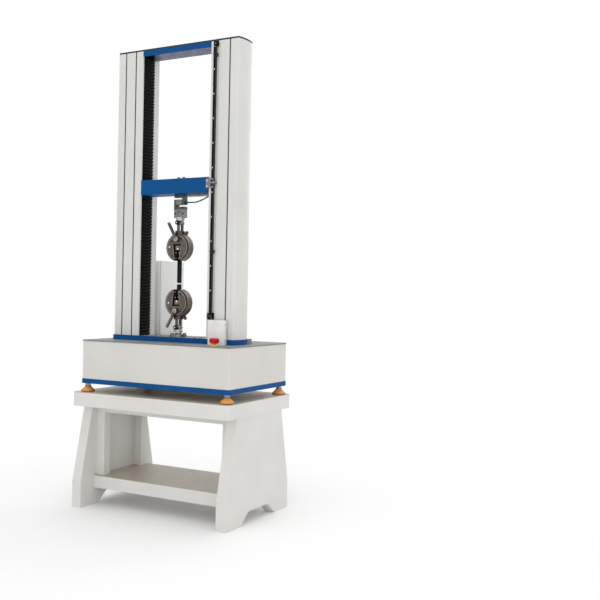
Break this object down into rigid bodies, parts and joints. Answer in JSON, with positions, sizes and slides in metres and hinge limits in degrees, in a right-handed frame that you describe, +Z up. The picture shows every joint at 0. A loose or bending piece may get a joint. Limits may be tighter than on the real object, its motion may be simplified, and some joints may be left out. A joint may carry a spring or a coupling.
{
  "type": "universal testing machine",
  "caption": "Column-frame universal testing machine on a steel stand: screw-driven crosshead, S-shaped load cell, lever wedge grips holding a strip specimen, rear cabinet.",
  "frame": {"origin": "centre of the stand's footprint, on the floor", "axes": "+X to the right seen from the front (the stop button's side), +Y to the back, +Z up"},
  "size_m": [0.896, 0.562, 2.236],
  "materials": {
    "stand_white": "satin powder coat",
    "sheet_grey": "fine-grained covering",
    "fixing_steel": "zinc plated",
    "foot_orange": "satin",
    "body_white": "satin powder coat",
    "trim_blue": "satin enamel",
    "pan_grey": "satin",
    "motor_black": "satin",
    "pulley_alloy": "machined",
    "belt_black": "ribbed",
    "housing_iron": "machined",
    "ground_steel": "ground",
    "plate_grey": "satin",
    "column_white": "powder coated extrusion",
    "seal_dark": "matt",
    "beam_lilac": "satin",
    "cap_slate": "satin",
    "bellows_black": "folded coated cloth",
    "nut_bronze": "machined",
    "cell_alloy": "anodised",
    "cable_black": "satin",
    "coupling_steel": "machined",
    "grip_steel": "blackened",
    "jaw_steel": "machined",
    "lever_steel": "worn black",
    "knob_black": "satin",
    "specimen_black": "moulded",
    "rod_steel": "bright",
    "stop_steel": "machined",
    "control_white": "satin",
    "button_red": "glossy",
    "collar_yellow": "glossy",
    "cabinet_white": "satin powder coat"
  },
  "bodies": {
    "frame": {"stand_top": "stand_white", "stand_sheets": "sheet_grey", "stand_legs": "stand_white", "stand_frame": "stand_white", "stand_shelf": "stand_white", "stand_bolts": "fixing_steel", "foot_pads": "foot_orange", "levelling_studs": "fixing_steel", "base_pan": "pan_grey", "base_trim": "trim_blue", "base_housing": "body_white", "base_top_plate": "pan_grey", "servo_motor": "motor_black", "drive_belt": "belt_black", "screw_bearings": "housing_iron", "table_plate": "plate_grey", "frame_trims": "trim_blue", "column_left": "column_white", "column_right": "column_white", "column_seals": "seal_dark", "guide_rods": "ground_steel", "top_beam": "beam_lilac", "top_cap": "cap_slate", "upper_bellows": "bellows_black", "lower_bellows": "bellows_black", "lower_grip_core": "grip_steel", "lower_grip_covers": "grip_steel", "lower_pin": "knob_black", "lower_adaptor": "coupling_steel", "specimen": "specimen_black", "limit_rail": "stop_steel", "control_box": "control_white", "estop_collar": "collar_yellow", "cabinet_shell": "cabinet_white", "cabinet_rear_cover": "cabinet_white"},
    "screw_left": {"ball_screw_left": "ground_steel"},
    "screw_right": {"ball_screw_right": "ground_steel"},
    "motor_rotor": {"motor_pulley": "pulley_alloy"},
    "crosshead": {"crosshead": "trim_blue", "nuts_and_bushes": "nut_bronze", "crosshead_fittings": "fixing_steel", "trip_bracket": "pulley_alloy", "load_cell": "cell_alloy", "load_cell_cable": "cable_black", "cell_coupling": "coupling_steel", "upper_grip_core": "grip_steel", "upper_grip_covers": "grip_steel", "upper_pin": "knob_black"},
    "upper_lever": {"upper_lever": "lever_steel"},
    "upper_jaw_left": {"upper_jaw_left": "jaw_steel"},
    "upper_jaw_right": {"upper_jaw_right": "jaw_steel"},
    "upper_carrier": {"upper_carrier": "jaw_steel"},
    "lower_lever": {"lower_lever": "lever_steel"},
    "lower_jaw_left": {"lower_jaw_left": "jaw_steel"},
    "lower_jaw_right": {"lower_jaw_right": "jaw_steel"},
    "lower_carrier": {"lower_carrier": "jaw_steel"},
    "limit_rod": {"limit_rod": "rod_steel"},
    "upper_stop": {"upper_stop": "stop_steel"},
    "lower_stop": {"lower_stop": "stop_steel"},
    "estop_button": {"estop_button": "button_red"}
  },
  "joints": [
    {"name": "crosshead_slide", "type": "slide", "parent": "frame", "child": "crosshead", "axis": [0, 0, 1], "range_m": [-0.04, 0.35], "deforming": ["upper_bellows", "lower_bellows"]},
    {"name": "screw_left_spin", "type": "hinge", "parent": "frame", "child": "screw_left", "pos_m": [-0.245, -0.045, 1.5], "axis": [0, 0, 1], "range_deg": [-1500, 12700]},
    {"name": "screw_right_spin", "type": "hinge", "parent": "frame", "child": "screw_right", "pos_m": [0.245, -0.045, 1.5], "axis": [0, 0, 1], "range_deg": [-1500, 12700]},
    {"name": "motor_spin", "type": "hinge", "parent": "frame", "child": "motor_rotor", "pos_m": [0, 0.135, 0.755], "axis": [0, 0, 1], "range_deg": [-2950, 25300]},
    {"name": "limit_rod_shift", "type": "slide", "parent": "frame", "child": "limit_rod", "axis": [0, 0, 1], "range_m": [-0.003, 0.003], "stiffness_N_per_m": 20000, "springref_m": 0.00028},
    {"name": "upper_stop_slide", "type": "slide", "parent": "limit_rod", "child": "upper_stop", "axis": [0, 0, 1], "range_m": [-0.15, 0.02]},
    {"name": "lower_stop_slide", "type": "slide", "parent": "limit_rod", "child": "lower_stop", "axis": [0, 0, 1], "range_m": [-0.2, 0.23]},
    {"name": "estop_press", "type": "slide", "parent": "frame", "child": "estop_button", "axis": [0, 0, 1], "range_m": [-0.004, 0], "stiffness_N_per_m": 800},
    {"name": "upper_lever_turn", "type": "hinge", "parent": "crosshead", "child": "upper_lever", "pos_m": [0, -0.045, 1.308], "axis": [0, -1, 0], "range_deg": [0, 60]},
    {"name": "upper_jaw_left_slide", "type": "slide", "parent": "crosshead", "child": "upper_jaw_left", "axis": [-0.1392, 0, 0.9903], "range_m": [0, 0.0162]},
    {"name": "upper_jaw_right_slide", "type": "slide", "parent": "crosshead", "child": "upper_jaw_right", "axis": [0.1392, 0, 0.9903], "range_m": [0, 0.0162]},
    {"name": "upper_carrier_slide", "type": "slide", "parent": "crosshead", "child": "upper_carrier", "axis": [0, 0, 1], "range_m": [0, 0.016]},
    {"name": "lower_lever_turn", "type": "hinge", "parent": "frame", "child": "lower_lever", "pos_m": [0, -0.045, 0.961], "axis": [0, 1, 0], "range_deg": [0, 60]},
    {"name": "lower_jaw_left_slide", "type": "slide", "parent": "frame", "child": "lower_jaw_left", "axis": [-0.1392, 0, -0.9903], "range_m": [0, 0.0162]},
    {"name": "lower_jaw_right_slide", "type": "slide", "parent": "frame", "child": "lower_jaw_right", "axis": [0.1392, 0, -0.9903], "range_m": [0, 0.0162]},
    {"name": "lower_carrier_slide", "type": "slide", "parent": "frame", "child": "lower_carrier", "axis": [0, 0, -1], "range_m": [0, 0.016]}
  ],
  "couplings": [
    {"joint": "screw_left_spin", "follows": "crosshead_slide", "rad_per_m": 628.32},
    {"joint": "screw_right_spin", "follows": "crosshead_slide", "rad_per_m": 628.32},
    {"joint": "motor_spin", "follows": "crosshead_slide", "rad_per_m": 1256.6},
    {"joint": "upper_jaw_left_slide", "follows": "upper_lever_turn", "m_per_rad": 0.015279},
    {"joint": "upper_jaw_right_slide", "follows": "upper_lever_turn", "m_per_rad": 0.015279},
    {"joint": "upper_carrier_slide", "follows": "upper_lever_turn", "m_per_rad": 0.01513},
    {"joint": "lower_jaw_left_slide", "follows": "lower_lever_turn", "m_per_rad": 0.015279},
    {"joint": "lower_jaw_right_slide", "follows": "lower_lever_turn", "m_per_rad": 0.015279},
    {"joint": "lower_carrier_slide", "follows": "lower_lever_turn", "m_per_rad": 0.01513}
  ]
}
